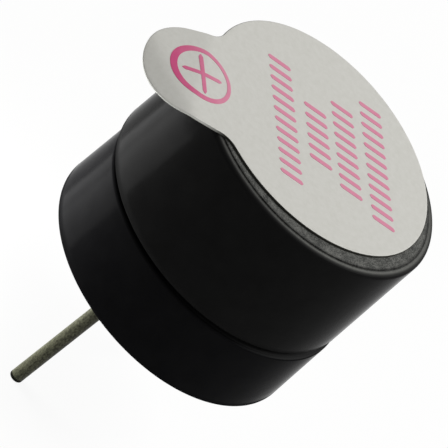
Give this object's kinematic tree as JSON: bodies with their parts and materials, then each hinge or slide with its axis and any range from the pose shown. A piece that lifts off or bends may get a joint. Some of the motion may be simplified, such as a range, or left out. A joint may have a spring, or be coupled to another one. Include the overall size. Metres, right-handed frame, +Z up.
{
  "type": "buzzer",
  "caption": "Round black through-hole buzzer: split moulded case, magnet, coil and diaphragm inside, wire pins below, peel-off seal with a pull tab on top.",
  "frame": {"origin": "centre of the seating plane, where the lower case's bottom rim meets a circuit board", "axes": "+Z up through the sound hole, +X towards the positive pin"},
  "size_m": [0.0134, 0.0128, 0.0161],
  "materials": {
    "seal_paper": "coated paper with pink print",
    "case_plastic": "black moulded plastic, smooth walls and a fine textured top",
    "diaphragm_steel": "rolled sheet",
    "ferrite": "bonded ferrite",
    "copper_wire": "enamelled copper",
    "soft_iron": "plated",
    "board_laminate": "glass laminate with solder mask",
    "moulding_compound": "moulded",
    "chip_ceramic": "glazed chip",
    "tinned_wire": "dull tin",
    "solder": "satin",
    "resin": "cast, satin"
  },
  "bodies": {
    "root": {"seal_label": "seal_paper", "upper_case": "case_plastic", "lower_case": "case_plastic", "diaphragm": "diaphragm_steel", "armature_disc": "soft_iron", "ring_magnet": "ferrite", "coil_winding": "copper_wire", "pole_core": "soft_iron", "yoke_plate": "soft_iron", "circuit_board": "board_laminate", "transistor": "moulding_compound", "base_resistor": "chip_ceramic", "positive_pin": "tinned_wire", "negative_pin": "tinned_wire", "solder_joints": "solder", "coil_leads": "copper_wire", "potting_resin": "resin"}
  },
  "joints": []
}
